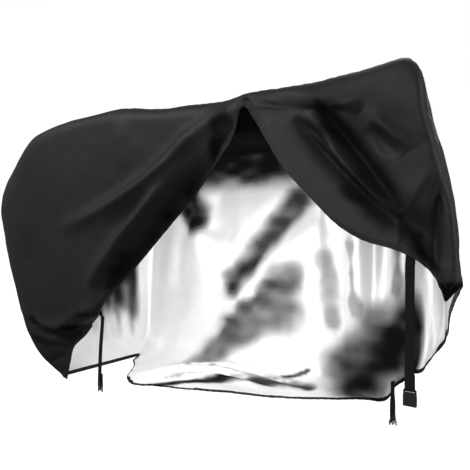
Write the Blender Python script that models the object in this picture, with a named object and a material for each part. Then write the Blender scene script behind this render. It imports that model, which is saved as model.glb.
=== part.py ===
"""A fitted cover of coated cloth as it hangs, with one side lifted: two side panels, the gusset sewn between them, and
three straps with buckle halves on the hem.

Metres, +Z up, +X to the front end, -Y to the lifted side. The origin lies under the middle of the top, TOP above the
floor. Heights in the tables are above the floor.
"""

import math
from collections import namedtuple

import bpy
import numpy as np
from mathutils import Matrix, Vector, noise
from mathutils.bvhtree import BVHTree

TOP = 1.02  # height of the origin over the floor
CLOTH = 0.002  # thickness of the coated cloth
SEAM_GAP = 0.0006  # between the cut edges of two panels along their seam
FLOOR_CLEAR = 0.0008  # between the floor and what lies on it
COLUMNS_A_ROW = 3  # grid columns from one section to the next
FINE_ROWS = (11, 17)  # from and to the sections between which the grid has FINE_COLUMNS for the narrow folds
FINE_COLUMNS = 5
OUTER, INNER = range(2)  # the material of each face of the cloth

STRAP_WIDE = 0.020
STRAP_THICK = 0.0014
SEWN = 0.030  # length of a near strap that is sewn flat on the cloth
FAR_SEWN = 0.030
SEWN_GAP = 0.0007
PAST_HEM = 0.016  # length that runs straight on past the hem
TWIST = 0.05  # length over which a strap turns to hang level
STRAP_STEP = 0.010  # between the cross-sections of a strap
TURN = 0.0034  # radius of the strap's turn round a buckle's bar
TURN_STEPS = 6
TAIL = 0.032  # length of strap that comes back from the turn

BUCKLE_WIDE = 0.027
BUCKLE_THICK = 0.004
BAR = 0.0024  # height of the bar that the strap turns round
SLOT_WIDE = 0.0212
SLOT_HIGH = 0.0040
PLATE_LONG = 0.014  # from the middle of the bar to the end of the plate
PRONG_LONG = 0.022
PRONG_WIDE = 0.0048
GUIDE_WIDE = 0.0060
SOCKET_LONG = 0.024
SOCKET_THICK = 0.0084
MOUTH_WIDE = 0.0224
MOUTH_HIGH = 0.0048

# One row for each section round the cover, from the rear hem, over the top, to the front hem. The cloth runs from the
# near hem up to the near edge, across the gusset to the far edge, down to the foot of the far wall, and over the
# floor to the far hem. `near_round` and `far_round` are how far from an edge its rounding starts.
Section = namedtuple("Section", "near_hem near_edge near_round far_edge far_round foot far_hem")
SECTIONS = (
    Section((-0.688, -0.233, 0.004), (-0.740, -0.225, 0.004), 0.03, (-0.740, 0.240, 0.004), 0.05,
            (-0.735, 0.225, 0.004), (-0.700, 0.160, 0.004)),
    Section((-0.635, -0.255, 0.090), (-0.805, -0.325, 0.120), 0.06, (-0.790, 0.330, 0.120), 0.10,
            (-0.720, 0.270, 0.012), (-0.640, 0.110, 0.004)),
    Section((-0.560, -0.290, 0.170), (-0.850, -0.400, 0.280), 0.12, (-0.835, 0.400, 0.280), 0.14,
            (-0.690, 0.310, 0.012), (-0.560, 0.020, 0.004)),
    Section((-0.400, -0.340, 0.262), (-0.885, -0.450, 0.500), 0.18, (-0.870, 0.440, 0.500), 0.18,
            (-0.630, 0.330, 0.010), (-0.480, -0.070, 0.004)),
    Section((-0.284, -0.385, 0.344), (-0.905, -0.480, 0.760), 0.18, (-0.880, 0.465, 0.750), 0.18,
            (-0.520, 0.345, 0.010), (-0.400, -0.110, 0.004)),
    Section((-0.164, -0.425, 0.442), (-0.735, -0.505, 0.928), 0.13, (-0.715, 0.475, 0.915), 0.13,
            (-0.380, 0.350, 0.010), (-0.300, -0.065, 0.004)),
    Section((0.014, -0.465, 0.572), (-0.480, -0.520, 1.045), 0.08, (-0.450, 0.480, 1.020), 0.10,
            (-0.200, 0.355, 0.010), (-0.130, -0.015, 0.004)),
    Section((0.172, -0.495, 0.698), (-0.090, -0.525, 1.068), 0.07, (-0.070, 0.480, 1.040), 0.09,
            (-0.030, 0.360, 0.010), (0.020, 0.060, 0.004)),
    Section((0.333, -0.515, 0.815), (0.200, -0.525, 1.032), 0.06, (0.200, 0.480, 1.030), 0.08,
            (0.160, 0.360, 0.010), (0.200, 0.120, 0.004)),
    Section((0.449, -0.525, 0.900), (0.400, -0.525, 1.022), 0.05, (0.380, 0.480, 1.022), 0.08,
            (0.280, 0.360, 0.010), (0.300, 0.170, 0.004)),
    Section((0.493, -0.530, 0.984), (0.500, -0.525, 1.026), 0.03, (0.460, 0.480, 1.020), 0.08,
            (0.370, 0.360, 0.010), (0.380, 0.230, 0.004)),
    Section((0.527, -0.530, 0.945), (0.580, -0.525, 1.030), 0.05, (0.530, 0.480, 1.016), 0.08,
            (0.450, 0.355, 0.010), (0.450, 0.285, 0.004)),
    Section((0.603, -0.525, 0.833), (0.690, -0.525, 1.029), 0.06, (0.600, 0.480, 1.010), 0.08,
            (0.520, 0.345, 0.016), (0.510, 0.310, 0.004)),
    Section((0.690, -0.525, 0.742), (0.800, -0.525, 1.032), 0.06, (0.660, 0.480, 1.005), 0.08,
            (0.570, 0.335, 0.070), (0.560, 0.300, 0.020)),
    Section((0.765, -0.525, 0.673), (0.896, -0.525, 1.043), 0.06, (0.700, 0.480, 0.995), 0.08,
            (0.615, 0.330, 0.140), (0.600, 0.298, 0.080)),
    Section((0.820, -0.523, 0.643), (0.930, -0.520, 1.016), 0.05, (0.720, 0.475, 0.960), 0.09,
            (0.645, 0.330, 0.170), (0.630, 0.294, 0.105)),
    Section((0.875, -0.521, 0.628), (0.950, -0.515, 0.920), 0.05, (0.738, 0.465, 0.840), 0.09,
            (0.675, 0.330, 0.190), (0.655, 0.290, 0.128)),
    Section((0.925, -0.520, 0.605), (0.978, -0.505, 0.800), 0.05, (0.752, 0.440, 0.620), 0.09,
            (0.702, 0.330, 0.215), (0.685, 0.287, 0.155)),
    Section((0.962, -0.518, 0.572), (1.002, -0.495, 0.690), 0.045, (0.760, 0.400, 0.410), 0.08,
            (0.732, 0.330, 0.240), (0.715, 0.283, 0.187)),
    Section((0.983, -0.515, 0.524), (1.010, -0.485, 0.560), 0.03, (0.762, 0.340, 0.255), 0.04,
            (0.756, 0.310, 0.240), (0.742, 0.275, 0.225)),
)
FOOT_ROUND = 0.10  # how far from the foot its rounding starts
ROUND_SHARE = 0.48  # the most of a short side that a rounding takes

# Where each stretch of a section starts, in the measure w that runs across the cloth from the near hem.
NEAR_SIDE, NEAR_EDGE, ACROSS, FAR_EDGE, WALL, FOOT, FLOOR, FAR_HEM = range(8)
NEAR_SEAM = NEAR_EDGE + 0.85
FAR_SEAM = FAR_EDGE + 0.15

# Each fold is a ridge (depth over 0, outward) or a trough along a bend through three places. `across` is the distance
# from its crest at which it has mostly died out. Places are (x, height) on the near side, (x, drop down the
# cloth from the far edge) on the far side, (x, y) on top, and (y, height) on both ends.
Fold = namedtuple("Fold", "start middle end depth across")
NEAR_FOLDS = (
    Fold((0.325, 0.938), (0.070, 0.795), (-0.400, 0.665), 0.028, 0.028),
    Fold((0.200, 0.828), (0.050, 0.745), (-0.120, 0.675), -0.030, 0.026),
    Fold((0.192, 0.818), (0.000, 0.655), (-0.290, 0.470), 0.028, 0.036),
    Fold((0.400, 0.885), (0.155, 0.695), (-0.240, 0.410), -0.042, 0.044),
    Fold((-0.005, 1.03), (0.005, 0.95), (0.014, 0.86), 0.008, 0.035),
    Fold((-0.70, 0.880), (-0.69, 0.720), (-0.68, 0.540), 0.012, 0.070),
    Fold((-0.800, 0.345), (-0.600, 0.270), (-0.270, 0.400), 0.022, 0.026),
    Fold((-0.800, 0.290), (-0.600, 0.232), (-0.420, 0.285), -0.034, 0.026),
    Fold((-0.754, 0.064), (-0.702, 0.100), (-0.629, 0.124), -0.010, 0.018),
    Fold((0.52, 1.002), (0.65, 0.964), (0.80, 0.939), -0.010, 0.022),
    Fold((0.63, 0.985), (0.73, 0.957), (0.83, 0.932), 0.008, 0.022),
    Fold((0.636, 0.936), (0.752, 0.806), (0.890, 0.680), -0.018, 0.026),
    Fold((0.706, 0.955), (0.796, 0.832), (0.892, 0.706), -0.020, 0.028),
    Fold((0.56, 0.935), (0.70, 0.728), (0.90, 0.640), 0.012, 0.032),
    Fold((0.82, 0.935), (0.87, 0.885), (0.91, 0.830), 0.024, 0.050),
    Fold((0.885, 0.690), (0.930, 0.668), (0.958, 0.586), -0.032, 0.030),
    Fold((0.990, 0.775), (0.966, 0.700), (0.964, 0.570), -0.012, 0.024),
)
FAR_FOLDS = (
    Fold((0.12, 0.26), (-0.14, 0.50), (-0.40, 0.74), 0.038, 0.070),
    Fold((0.22, 0.36), (-0.02, 0.60), (-0.28, 0.84), -0.041, 0.080),
    Fold((-0.46, 0.14), (-0.50, 0.36), (-0.42, 0.58), -0.032, 0.055),
    Fold((-0.36, 0.12), (-0.36, 0.30), (-0.28, 0.46), 0.027, 0.060),
    Fold((-0.60, 0.20), (-0.62, 0.45), (-0.56, 0.75), 0.024, 0.060),
    Fold((-0.46, 0.88), (-0.12, 0.90), (0.24, 0.88), 0.030, 0.045),
    Fold((0.26, 0.20), (0.29, 0.48), (0.34, 0.80), 0.027, 0.045),
    Fold((0.38, 0.16), (0.40, 0.50), (0.42, 0.86), -0.030, 0.045),
    Fold((0.49, 0.16), (0.50, 0.45), (0.50, 0.78), 0.027, 0.040),
    Fold((0.58, 0.18), (0.60, 0.42), (0.59, 0.66), -0.027, 0.038),
    Fold((0.66, 0.20), (0.67, 0.42), (0.66, 0.62), 0.019, 0.034),
    Fold((-0.56, 1.10), (-0.20, 1.09), (0.30, 1.06), -0.022, 0.022),
    Fold((-0.52, 1.18), (-0.20, 1.17), (0.24, 1.13), -0.032, 0.026),
    Fold((-0.46, 1.27), (-0.20, 1.25), (0.16, 1.20), -0.024, 0.022),
)
TOP_FOLDS = (
    Fold((-0.55, -0.02), (0.05, -0.01), (0.62, 0.00), -0.030, 0.140),
    Fold((-0.12, -0.26), (-0.10, -0.24), (-0.08, -0.22), 0.018, 0.110),
    Fold((-0.12, 0.20), (-0.10, 0.20), (-0.08, 0.20), 0.018, 0.110),
    Fold((0.36, -0.36), (0.38, -0.24), (0.36, -0.12), 0.016, 0.070),
    Fold((0.36, 0.10), (0.38, 0.20), (0.36, 0.34), 0.016, 0.070),
    Fold((0.14, -0.30), (0.16, 0.00), (0.12, 0.30), -0.014, 0.080),
    Fold((-0.36, -0.28), (-0.42, 0.00), (-0.38, 0.28), 0.010, 0.070),
)
REAR_FOLDS = (
    Fold((-0.16, 0.15), (-0.20, 0.45), (-0.24, 0.82), 0.016, 0.060),
    Fold((0.00, 0.12), (0.00, 0.45), (-0.02, 0.85), -0.026, 0.090),
    Fold((0.17, 0.15), (0.20, 0.45), (0.22, 0.80), 0.016, 0.060),
    Fold((-0.30, 0.24), (0.00, 0.20), (0.30, 0.25), -0.014, 0.030),
)
FRONT_FOLDS = (
    Fold((-0.40, 0.54), (-0.22, 0.46), (0.06, 0.37), -0.026, 0.075),
    Fold((-0.30, 0.90), (-0.31, 0.70), (-0.33, 0.54), 0.012, 0.050),
    Fold((-0.10, 0.88), (-0.12, 0.66), (-0.14, 0.46), -0.020, 0.070),
    Fold((0.12, 0.86), (0.12, 0.62), (0.10, 0.38), 0.016, 0.060),
    Fold((0.28, 0.84), (0.27, 0.58), (0.24, 0.32), -0.014, 0.050),
)
FOLD_STEPS = 12
UNEVEN = 0.006  # how far the cloth wanders from its smooth form
UNEVEN_SPAN = 0.22


def through(rows, at):
    """A smooth curve through the rows, read at row numbers `at`. It never swings past a row."""
    steps = np.diff(rows, axis=0)
    before, after = steps[:-1], steps[1:]
    same = before * after > 0
    middle = np.where(same, 2 * before * after / np.where(same, before + after, 1), 0)
    slopes = np.concatenate([steps[:1], middle, steps[-1:]])
    first = np.clip(np.floor(at).astype(int), 0, len(rows) - 2)
    part = (at - first)[:, None]
    start, end = rows[first], rows[first + 1]
    rise = part * part * (3 - 2 * part)
    return (
        start + rise * (end - start)
        + part * (1 - part) ** 2 * slopes[first]
        - part * part * (1 - part) * slopes[first + 1]
    )


def column(name):
    values = np.array([getattr(section, name) for section in SECTIONS], float)
    return values if values.ndim > 1 else values[:, None]


def toward(corner, other, reach):
    """The place `reach` from the corner toward the other, and no more than its share of the way."""
    way = other - corner
    far = np.linalg.norm(way, axis=1, keepdims=True)
    return corner + way * np.minimum(reach, ROUND_SHARE * far) / np.maximum(far, 1e-9)


def base(rows, across):
    """Places on the smooth form: `rows` along the cover, `across` in the measure w, as equal flat arrays."""
    near_hem, near_edge, near_round, far_edge, far_round, foot, far_hem = (
        through(column(name), rows) for name in Section._fields
    )
    stops = (
        near_hem, toward(near_edge, near_hem, near_round), toward(near_edge, far_edge, near_round),
        toward(far_edge, near_edge, far_round), toward(far_edge, foot, far_round),
        toward(foot, far_edge, FOOT_ROUND), toward(foot, far_hem, FOOT_ROUND), far_hem,
    )
    corners = {NEAR_EDGE: near_edge, FAR_EDGE: far_edge, FOOT: foot}
    places = np.empty((len(rows), 3))
    stretch = np.clip(np.floor(across).astype(int), NEAR_SIDE, FLOOR)
    for kind in range(FAR_HEM):
        here = stretch == kind
        part = (across[here] - kind)[:, None]
        start, end = stops[kind][here], stops[kind + 1][here]
        if kind in corners:
            corner = corners[kind][here]
            places[here] = (1 - part) ** 2 * start + 2 * part * (1 - part) * corner + part**2 * end
        else:
            places[here] = start + part * (end - start)
    return places


def normal_of(surface, rows, across, step=0.01):
    """Outward directions, from places a small step away on the surface."""
    last = len(SECTIONS) - 1
    along = surface(np.minimum(rows + step, last), across) - surface(np.maximum(rows - step, 0), across)
    over = surface(rows, np.minimum(across + step, FAR_HEM)) - surface(rows, np.maximum(across - step, 0))
    normal = np.cross(along, over)
    return normal / np.maximum(np.linalg.norm(normal, axis=1, keepdims=True), 1e-12)


def folded(folds, first, second):
    """How far the folds lift the cloth at places with these two coordinates."""
    lift = np.zeros(len(first))
    for fold in folds:
        part = np.linspace(0, 1, FOLD_STEPS + 1)
        start, middle, end = (np.array(place) for place in fold[:3])
        middle = 2 * middle - (start + end) / 2
        line = np.outer((1 - part) ** 2, start) + np.outer(2 * part * (1 - part), middle) + np.outer(part**2, end)
        nearest = np.full(len(first), np.inf)
        place = np.zeros(len(first))
        for i in range(FOLD_STEPS):
            way = line[i + 1] - line[i]
            offset = np.stack([first, second], axis=1) - line[i]
            share = np.clip(offset @ way / (way @ way), 0, 1)
            far = np.linalg.norm(offset - np.outer(share, way), axis=1)
            closer = far < nearest
            nearest[closer] = far[closer]
            place[closer] = ((i + share) / FOLD_STEPS)[closer]
        ends = min(1.0, fold.across / np.linalg.norm(line[-1] - line[0]))
        fade = ends + (1 - ends) * np.sin(math.pi * place) ** 0.7
        lift += fold.depth * fade * np.exp(-((nearest / fold.across) ** 2))
    return lift


def smooth(value, low, high):
    part = np.clip((value - low) / (high - low), 0, 1)
    return part * part * (3 - 2 * part)


def drop_of(rows, across):
    """How far down the cloth a place of the far side lies from the far edge."""
    steps = 24
    total = np.zeros(len(rows))
    before = base(rows, np.full(len(rows), float(FAR_SEAM)))
    for i in range(1, steps + 1):
        here = base(rows, FAR_SEAM + np.maximum(across - FAR_SEAM, 0) * i / steps)
        total += np.linalg.norm(here - before, axis=1)
        before = here
    return total


def lift_of(rows, across, places):
    """Folds and unevenness at these places, each side's folds fading toward its seams."""
    x, y, height = places.T
    near = 1 - smooth(across, NEAR_EDGE, NEAR_SEAM)
    far = smooth(across, FAR_SEAM, WALL)
    middle = 1 - smooth(np.abs(across - (ACROSS + FAR_EDGE) / 2), 0.42, 0.62)
    last = len(SECTIONS) - 1
    rear, front = 1 - smooth(rows, 4.2, 5.4), smooth(rows, 14.2, 15.6)
    lift = near * folded(NEAR_FOLDS, x, height)
    lift += far * folded(FAR_FOLDS, x, drop_of(rows, across))
    lift += middle * (1 - rear - front) * folded(TOP_FOLDS, x, y)
    lift += middle * rear * folded(REAR_FOLDS, y, height)
    lift += middle * front * folded(FRONT_FOLDS, y, height)
    wander = np.array([noise.noise(Vector(place) / UNEVEN_SPAN) for place in places])
    ends = smooth(rows, 0, 1.2) * (1 - smooth(rows, last - 0.8, last))
    return (lift + UNEVEN * wander) * (0.25 + 0.75 * ends)


def cloth(rows, across):
    """Places on the outer face of the folded cloth."""
    places = base(rows, across)
    places = places + normal_of(base, rows, across) * lift_of(rows, across, places)[:, None]
    places[:, 2] = np.maximum(places[:, 2], FLOOR_CLEAR)
    return places


def faced(name, places, faces, materials, material_of=None):
    """An object from places over the floor and faces."""
    mesh = bpy.data.meshes.new(name)
    mesh.from_pydata([tuple(place) for place in np.asarray(places) - (0, 0, TOP)], [], faces)
    for material in materials:
        mesh.materials.append(material)
    if material_of is not None:
        mesh.polygons.foreach_set("material_index", material_of)
    mesh.shade_smooth()
    mesh.set_sharp_from_angle(angle=math.radians(50))
    obj = bpy.data.objects.new(name, mesh)
    bpy.context.scene.collection.objects.link(obj)
    return obj


def panel(name, across, seams, materials):
    """A closed sheet of cloth over the whole length of the cover, between the first and the last of `across`. A seam
    at its first or last side draws that side back by half of the gap."""
    fine, last = FINE_ROWS, len(SECTIONS) - 1
    along = spread((0, fine[0], fine[0] * COLUMNS_A_ROW), (*fine, (fine[1] - fine[0]) * FINE_COLUMNS),
                   (fine[1], last, (last - fine[1]) * COLUMNS_A_ROW))
    rows, over = (grid.ravel() for grid in np.meshgrid(along, across, indexing="ij"))
    outer = cloth(rows, over)
    normal = normal_of(cloth, rows, over)
    shape = (len(along), len(across), 3)
    grid = outer.reshape(shape)
    for side, inner_side in ((0, 1), (-1, -2)):
        if side in seams:
            back = grid[:, inner_side] - grid[:, side]
            grid[:, side] += back / np.linalg.norm(back, axis=1, keepdims=True) * SEAM_GAP / 2
    inner = outer - normal * CLOTH
    inner[:, 2] = np.maximum(inner[:, 2], FLOOR_CLEAR + CLOTH)
    count, wide = len(outer), len(across)

    faces, kinds = [], []

    def split(a, b, c, d):
        """One quad of the outer face and the one behind it, both cut along the shorter diagonal."""
        if np.linalg.norm(outer[a] - outer[c]) > np.linalg.norm(outer[b] - outer[d]):
            a, b, c, d = b, c, d, a
        for first, second, third in ((a, b, c), (a, c, d)):
            faces.extend([(first, second, third), (third + count, second + count, first + count)])
            kinds.extend([OUTER, INNER])

    def rim(a, b):
        faces.append((a, a + count, b + count, b))
        kinds.append(OUTER)

    for i in range(len(along) - 1):
        for j in range(wide - 1):
            split(i * wide + j, (i + 1) * wide + j, (i + 1) * wide + j + 1, i * wide + j + 1)
        rim(i * wide, (i + 1) * wide)
        rim((i + 2) * wide - 1, (i + 1) * wide - 1)
    for j in range(wide - 1):
        rim(j + 1, j)
        rim((len(along) - 1) * wide + j, (len(along) - 1) * wide + j + 1)
    return faced(name, np.concatenate([outer, inner]), faces, materials, kinds)


def material(name, colour, roughness, metallic=0.0):
    made = bpy.data.materials.new(name)
    made.use_nodes = True
    shader = made.node_tree.nodes["Principled BSDF"]
    shader.inputs["Base Color"].default_value = (*colour, 1.0)
    shader.inputs["Roughness"].default_value = roughness
    shader.inputs["Metallic"].default_value = metallic
    return made


def spread(*stretches):
    """Even steps over (start, end, steps) stretches that follow each other."""
    values = [stretches[0][0]]
    for start, end, steps in stretches:
        values += [start + (end - start) * (i + 1) / steps for i in range(steps)]
    return np.array(values, float)


def make_panels():
    outer = material("outer_cloth", (0.028, 0.028, 0.030), 0.62)
    lining = material("silver_coating", (0.72, 0.72, 0.73), 0.40, 0.35)
    both = (outer, lining)
    stretches = {
        "near_panel": (((NEAR_SIDE, NEAR_EDGE, 15), (NEAR_EDGE, NEAR_SEAM, 4)), (-1,)),
        "gusset": (((NEAR_SEAM, ACROSS, 1), (ACROSS, FAR_EDGE, 9), (FAR_EDGE, FAR_SEAM, 1)), (0, -1)),
        "far_panel": (((FAR_SEAM, WALL, 4), (WALL, FOOT, 9), (FOOT, FLOOR, 4), (FLOOR, FAR_HEM, 7)), (0,)),
    }
    return {name: panel(name, spread(*parts), seams, both) for name, (parts, seams) in stretches.items()}


def find(side, row, across, wanted, of=(0, 2)):
    """The row and measure w of the place on the cloth that has these two coordinates, from a guess near it."""
    guess = np.array([row, across], float)
    nudges = np.array([(0, 0), (0.02, 0), (0, 0.02)])
    for _ in range(12):
        tried = guess + nudges
        places = cloth(tried[:, 0], tried[:, 1])[:, of]
        slope = ((places[1:] - places[0]) / 0.02).T
        guess = guess + np.clip(np.linalg.solve(slope, wanted - places[0]), -0.3, 0.3)
    row, across = np.array([guess[0]]), np.array([guess[1]])
    place, normal = cloth(row, across)[0], normal_of(cloth, row, across)[0]
    return (place, normal) if side == OUTER else (place - normal * CLOTH, -normal)


def unit(vector):
    return vector / np.linalg.norm(vector)


def route_of(points):
    """Places every STRAP_STEP along a smooth curve through these points."""
    points = np.array(points, float)
    fine = through(points, np.linspace(0, len(points) - 1, 40 * len(points)))
    gone = np.concatenate([[0], np.cumsum(np.linalg.norm(np.diff(fine, axis=0), axis=1))])
    count = max(2, round(gone[-1] / STRAP_STEP) + 1)
    return np.stack([np.interp(np.linspace(0, gone[-1], count), gone, axis) for axis in fine.T], axis=1)


def turned_round(bar, down, out):
    """The strap's turn round a bar and its tail back up behind: from the front, round the lower side, to the back."""
    angles = np.linspace(0, math.pi, TURN_STEPS + 1)
    turn = [bar + TURN * (math.cos(angle) * out + math.sin(angle) * down) for angle in angles]
    tail = [bar - down * TAIL * share - out * TURN * (1 - 0.25 * share) for share in (0.2, 0.5, 1.0)]
    return turn + tail


def strap(name, places, sewn, tab_across, across, finish):
    """A flat strip of webbing along these places, one closed solid. Its width runs along `tab_across` on the sewn tab
    and along `across` from TWIST beyond it."""
    places = np.array(places)
    forward = np.gradient(places, axis=0)
    forward /= np.linalg.norm(forward, axis=1, keepdims=True)
    gone = np.concatenate([[0], np.cumsum(np.linalg.norm(np.diff(places, axis=0), axis=1))])
    share = smooth(gone, sewn + PAST_HEM, sewn + PAST_HEM + TWIST)[:, None]
    across = tab_across * (1 - share) + across * share
    wide = np.array([unit(here - way * (here @ way)) for here, way in zip(across, forward)])
    face = np.cross(forward, wide)
    half_wide, half_thick = wide * STRAP_WIDE / 2, face * STRAP_THICK / 2
    ring = [places - half_wide - half_thick, places + half_wide - half_thick,
            places + half_wide + half_thick, places - half_wide + half_thick]
    corners = np.stack(ring, axis=1).reshape(-1, 3)
    faces = [(3, 2, 1, 0)]
    for i in range(len(places) - 1):
        for k in range(4):
            a, b = 4 * i + k, 4 * i + (k + 1) % 4
            faces.append((a, b, b + 4, a + 4))
    last = 4 * (len(places) - 1)
    faces.append((last, last + 1, last + 2, last + 3))
    return faced(name, corners, faces, (finish,))


def clearance(cloth_object, places, way):
    """The least distance from these places to the cloth, looking back along `way` from outside."""
    tree = BVHTree.FromObject(cloth_object, bpy.context.evaluated_depsgraph_get())
    reach = 0.03
    found = []
    for place in places:
        start = Vector(place + way * reach - (0, 0, TOP))
        distance = tree.ray_cast(start, Vector(-way), 2 * reach)[3]
        if distance is not None:
            found.append(distance - reach)
    return min(found)


def sewn_tab(cloth_object, sewn, top, hem, normal):
    """The flat stretch of strap on the cloth and past its hem, moved out until it just clears the cloth: its places
    and the direction of its width."""
    down = unit(hem - top)
    top, end = hem - down * sewn, hem + down * PAST_HEM
    across = unit(np.cross(down, normal))
    out = unit(np.cross(across, down))
    shares, sides = np.linspace(0, 1, 9), np.linspace(-STRAP_WIDE / 2, STRAP_WIDE / 2, 5)
    tried = [top + (end - top) * share + across * side for share in shares for side in sides]
    move = SEWN_GAP + STRAP_THICK / 2 - clearance(cloth_object, tried, out)
    return [top + (end - top) * share + out * move for share in np.linspace(0, 1, 5)], across


def plate_outline():
    """The outer outline and the slot of a buckle's plate, in (across, along) from the middle of its bar."""
    side, end = BUCKLE_WIDE / 2, PLATE_LONG
    round_off = 0.002
    outer = [
        (-side + round_off, -BAR / 2), (side - round_off, -BAR / 2), (side, -BAR / 2 + round_off),
        (side, end), (-side, end), (-side, -BAR / 2 + round_off),
    ]
    slot = [(-SLOT_WIDE / 2, BAR / 2), (SLOT_WIDE / 2, BAR / 2),
            (SLOT_WIDE / 2, BAR / 2 + SLOT_HIGH), (-SLOT_WIDE / 2, BAR / 2 + SLOT_HIGH)]
    return outer, slot


def plug_outline():
    """The plate of the half with prongs: two arms with hooked tips and a guide between them."""
    outer, slot = plate_outline()
    side, start = BUCKLE_WIDE / 2, PLATE_LONG
    tip = start + PRONG_LONG
    inner = side - PRONG_WIDE
    guide = GUIDE_WIDE / 2
    right = [
        (side - 0.0016, start + 0.001), (side - 0.0020, tip - 0.0095), (side, tip - 0.0085), (side - 0.0012, tip - 0.003),
        (side - 0.0036, tip), (inner - 0.0004, tip - 0.0016), (inner - 0.0006, start + 0.002),
        (guide, start + 0.0012), (guide - 0.0006, tip - 0.006), (guide - 0.0014, tip - 0.005),
    ]
    left = [(-across, along) for across, along in reversed(right)]
    return outer[:3] + [(side, start)] + right + left + [(-side, start)] + outer[5:], slot


def flat_piece(name, outlines, thick, finish):
    """A flat plate with holes: the outlines lie in its XY plane, across and along."""
    curve = bpy.data.curves.new(name, "CURVE")
    curve.dimensions = "2D"
    curve.fill_mode = "BOTH"
    curve.extrude = thick / 2
    for outline in outlines:
        spline = curve.splines.new("POLY")
        spline.points.add(len(outline) - 1)
        for point, (across, along) in zip(spline.points, outline):
            point.co = (across, along, 0, 1)
        spline.use_cyclic_u = True
    curve.materials.append(finish)
    obj = bpy.data.objects.new(name, curve)
    bpy.context.scene.collection.objects.link(obj)
    return obj


def block(name, low, high):
    """A hidden box for a Boolean."""
    corners = [(x, y, z) for z in (low[2], high[2]) for y in (low[1], high[1]) for x in (low[0], high[0])]
    faces = [(0, 2, 3, 1), (4, 5, 7, 6), (0, 1, 5, 4), (2, 6, 7, 3), (0, 4, 6, 2), (1, 3, 7, 5)]
    mesh = bpy.data.meshes.new(name)
    mesh.from_pydata(corners, [], faces)
    obj = bpy.data.objects.new(name, mesh)
    bpy.context.scene.collection.objects.link(obj)
    obj.hide_render = True
    obj.display_type = "WIRE"
    return obj


def boolean(obj, operation, other):
    change = obj.modifiers.new(other.name, "BOOLEAN")
    change.operation = operation
    change.object = other
    change.solver = "EXACT"


def plug(name, finish):
    return flat_piece(name, plug_outline(), BUCKLE_THICK, finish), ()


def socket(name, finish):
    """The half that takes the prongs: a plate with the slot, and a body with a mouth and two side windows."""
    side, start = BUCKLE_WIDE / 2, PLATE_LONG - 0.004
    end, half = start + SOCKET_LONG, SOCKET_THICK / 2
    window = start + 0.006, start + 0.015
    plate = flat_piece(name + "_plate", plate_outline(), BUCKLE_THICK, finish)
    plate.hide_render = True
    plate.display_type = "WIRE"
    graph = bpy.context.evaluated_depsgraph_get()
    mesh = bpy.data.meshes.new_from_object(plate.evaluated_get(graph))
    solid_plate = bpy.data.objects.new(name + "_slotted", mesh)
    bpy.context.scene.collection.objects.link(solid_plate)
    solid_plate.hide_render = True
    solid_plate.display_type = "WIRE"
    bpy.data.objects.remove(plate, do_unlink=True)
    body = block(name, (-side, start, -half), (side, end, half))
    body.hide_render = False
    body.display_type = "TEXTURED"
    body.data.materials.append(finish)
    mouth = block(name + "_mouth", (-MOUTH_WIDE / 2, start + 0.003, -MOUTH_HIGH / 2),
                  (MOUTH_WIDE / 2, end + 0.01, MOUTH_HIGH / 2))
    windows = block(name + "_windows", (-side - 0.01, window[0], -MOUTH_HIGH / 2),
                    (side + 0.01, window[1], MOUTH_HIGH / 2))
    boolean(body, "UNION", solid_plate)
    boolean(body, "DIFFERENCE", mouth)
    boolean(body, "DIFFERENCE", windows)
    return body, (solid_plate, mouth, windows)


def placed(pieces, bar, across, along):
    """Sets a buckle half with the middle of its bar here, its width along `across`, its length along `along`."""
    body, helpers = pieces
    across, along = Vector(across), Vector(along)
    out = across.cross(along)
    matrix = Matrix((across, along, out)).transposed().to_4x4()
    matrix.translation = Vector(bar) - Vector((0, 0, TOP))
    for obj in (body, *helpers):
        obj.matrix_world = matrix
    return body


# One row for each strap that hangs from inside the near hem: the row and x of its place on the hem, how far it drifts in x
# and y as it hangs, and the height of the bar that it turns round.
Hanging = namedtuple("Hanging", "name row x drift bar_height buckle")
NEAR_STRAPS = (
    Hanging("rear_near", 4.0, -0.2700, (0.006, -0.004), 0.105, plug),
    Hanging("front_near", 16.8, 0.9135, (-0.001, -0.003), 0.335, socket),
)
# The far strap is sewn inside the cloth, comes down over the hem, and lies on the floor.
FAR_STRAP_ROW = 13.75
FAR_STRAP_TOP = (0.578, 0.125)  # (x, height)
FAR_STRAP_BAR = (0.640, 0.150)  # (x, y) of the bar on the floor


def make_straps(panels, webbing, plastic):
    down, level, front = np.array([0, 0, -1.0]), np.array([1.0, 0, 0]), np.array([0, -1.0, 0])
    for hanging in NEAR_STRAPS:
        hem, normal = find(INNER, hanging.row, 0.02, hem_place(hanging.row, hanging.x))
        top = find(INNER, hanging.row, 0.10, (hem[0], hem[2] + SEWN))[0]
        tab, tab_across = sewn_tab(panels["near_panel"], SEWN, top, hem, normal)
        end = tab[-1]
        bar = np.array([hem[0] + hanging.drift[0], end[1] + hanging.drift[1], hanging.bar_height])
        low = bar + front * TURN
        fall = route_of([end, end + down * 0.012, (end + low) / 2, low - down * 0.02, low])
        places = tab[:-1] + list(fall) + turned_round(bar, down, front)[1:]
        strap("strap_" + hanging.name, places, SEWN, tab_across * np.sign(tab_across @ level), level, webbing)
        placed(hanging.buckle("buckle_" + hanging.name, plastic), bar, level, down)
    make_far_strap(panels["far_panel"], webbing, plastic)


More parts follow.
